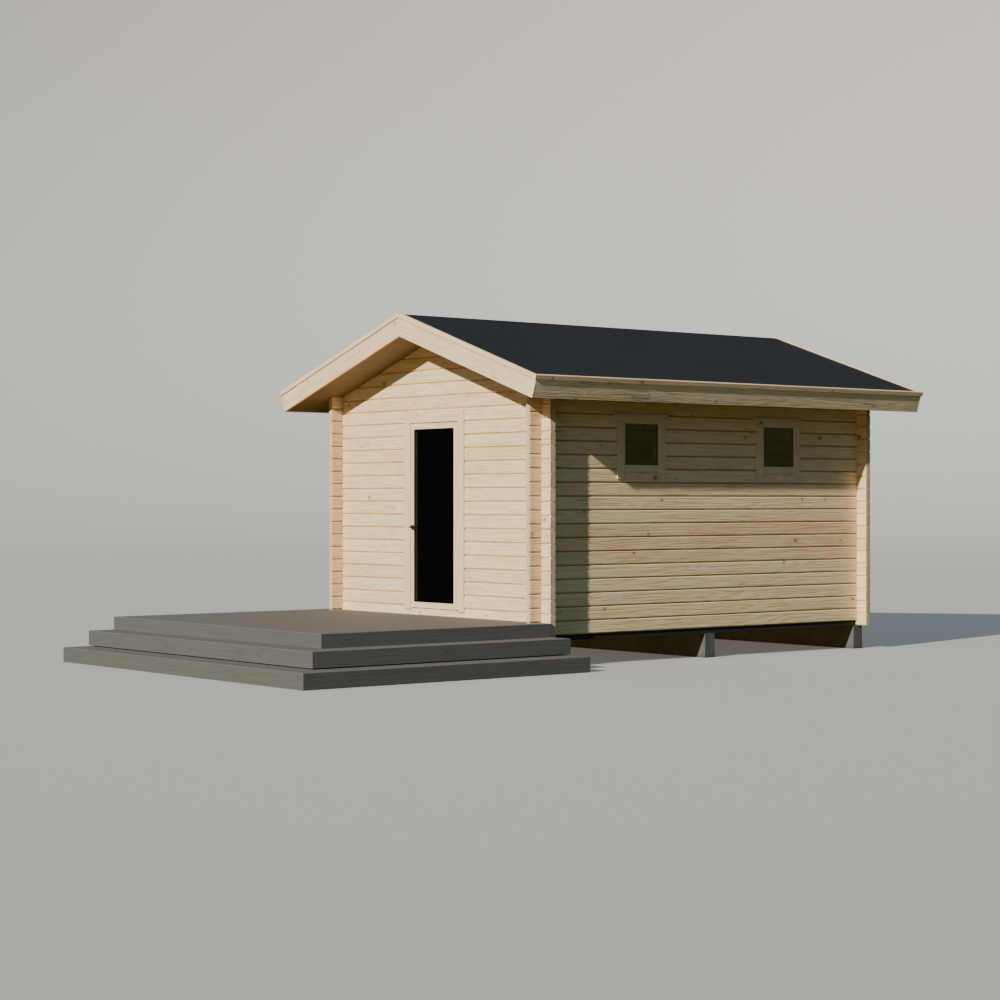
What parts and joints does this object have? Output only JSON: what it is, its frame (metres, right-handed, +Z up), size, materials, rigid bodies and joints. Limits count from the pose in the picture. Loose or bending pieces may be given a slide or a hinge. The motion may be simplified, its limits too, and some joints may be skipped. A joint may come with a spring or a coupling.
{
  "type": "log cabin",
  "caption": "A single-storey log cabin with crossed corners, a felt gable roof, a glazed door that swings outwards, small side windows and a stepped timber terrace.",
  "frame": {"origin": "On the ground under the middle of the cabin: the middle of the underside of the middle foundation strip.", "axes": "+Z up. +Y from the door through to the back wall, along the ridge. +X towards the long side wall with the two windows, which is the right-hand side seen from the door."},
  "size_m": [4.9732, 8.82, 3.772],
  "materials": {
    "log_wood": "planed bare pine logs, weathered slightly on the long side",
    "board_wood": "planed bare pine boards",
    "soffit_wood": "bare pine boards, in shade",
    "roof_timber": "sawn softwood",
    "deck_wood": "grey weathered softwood",
    "bearer_wood": "dark pressure-treated softwood",
    "roof_felt": "matt mineral-faced bitumen felt",
    "concrete": null,
    "pane_glass": "clear pane",
    "black_metal": "satin black",
    "pivot_steel": "zinc-plated steel"
  },
  "bodies": {
    "cabin": {"foundation_strips": "concrete", "side_bearers": "bearer_wood", "floor_joists": "roof_timber", "floor_boards": "board_wood", "front_wall_base": "log_wood", "front_wall_left": "log_wood", "front_wall_right": "log_wood", "front_wall_gable": "log_wood", "back_wall": "log_wood", "side_wall_left": "log_wood", "side_wall_right": "log_wood", "door_frame": "board_wood", "door_casing_sides": "board_wood", "door_casing_head": "board_wood", "door_pivots": "pivot_steel", "window_frames": "board_wood", "window_glass": "pane_glass", "window_casing_heads": "board_wood", "window_casing_sides": "board_wood", "window_casing_aprons": "board_wood", "ceiling_left": "soffit_wood", "ceiling_right": "soffit_wood", "rafters": "roof_timber", "roof_deck": "roof_timber", "roof_felt": "roof_felt", "barge_front_left": "board_wood", "barge_front_right": "board_wood", "barge_back_left": "board_wood", "barge_back_right": "board_wood", "barge_trim_front": "board_wood", "barge_trim_back": "board_wood", "fascia_left": "board_wood", "fascia_right": "board_wood", "eave_trims": "board_wood", "terrace_frame_low": "deck_wood", "terrace_boards_low": "deck_wood", "terrace_frame_middle": "deck_wood", "terrace_boards_middle": "deck_wood", "terrace_frame_top": "deck_wood", "terrace_boards_top": "deck_wood"},
    "door": {"door_leaf": "board_wood", "door_glass": "pane_glass", "door_rosettes": "black_metal", "door_lever": "black_metal", "door_pivot_sockets": "pivot_steel"}
  },
  "joints": [
    {"name": "door_pivot", "type": "hinge", "parent": "cabin", "child": "door", "pos_m": [0.408, -2.4355, 0.6], "axis": [0, 0, 1], "range_deg": [0, 105]}
  ]
}
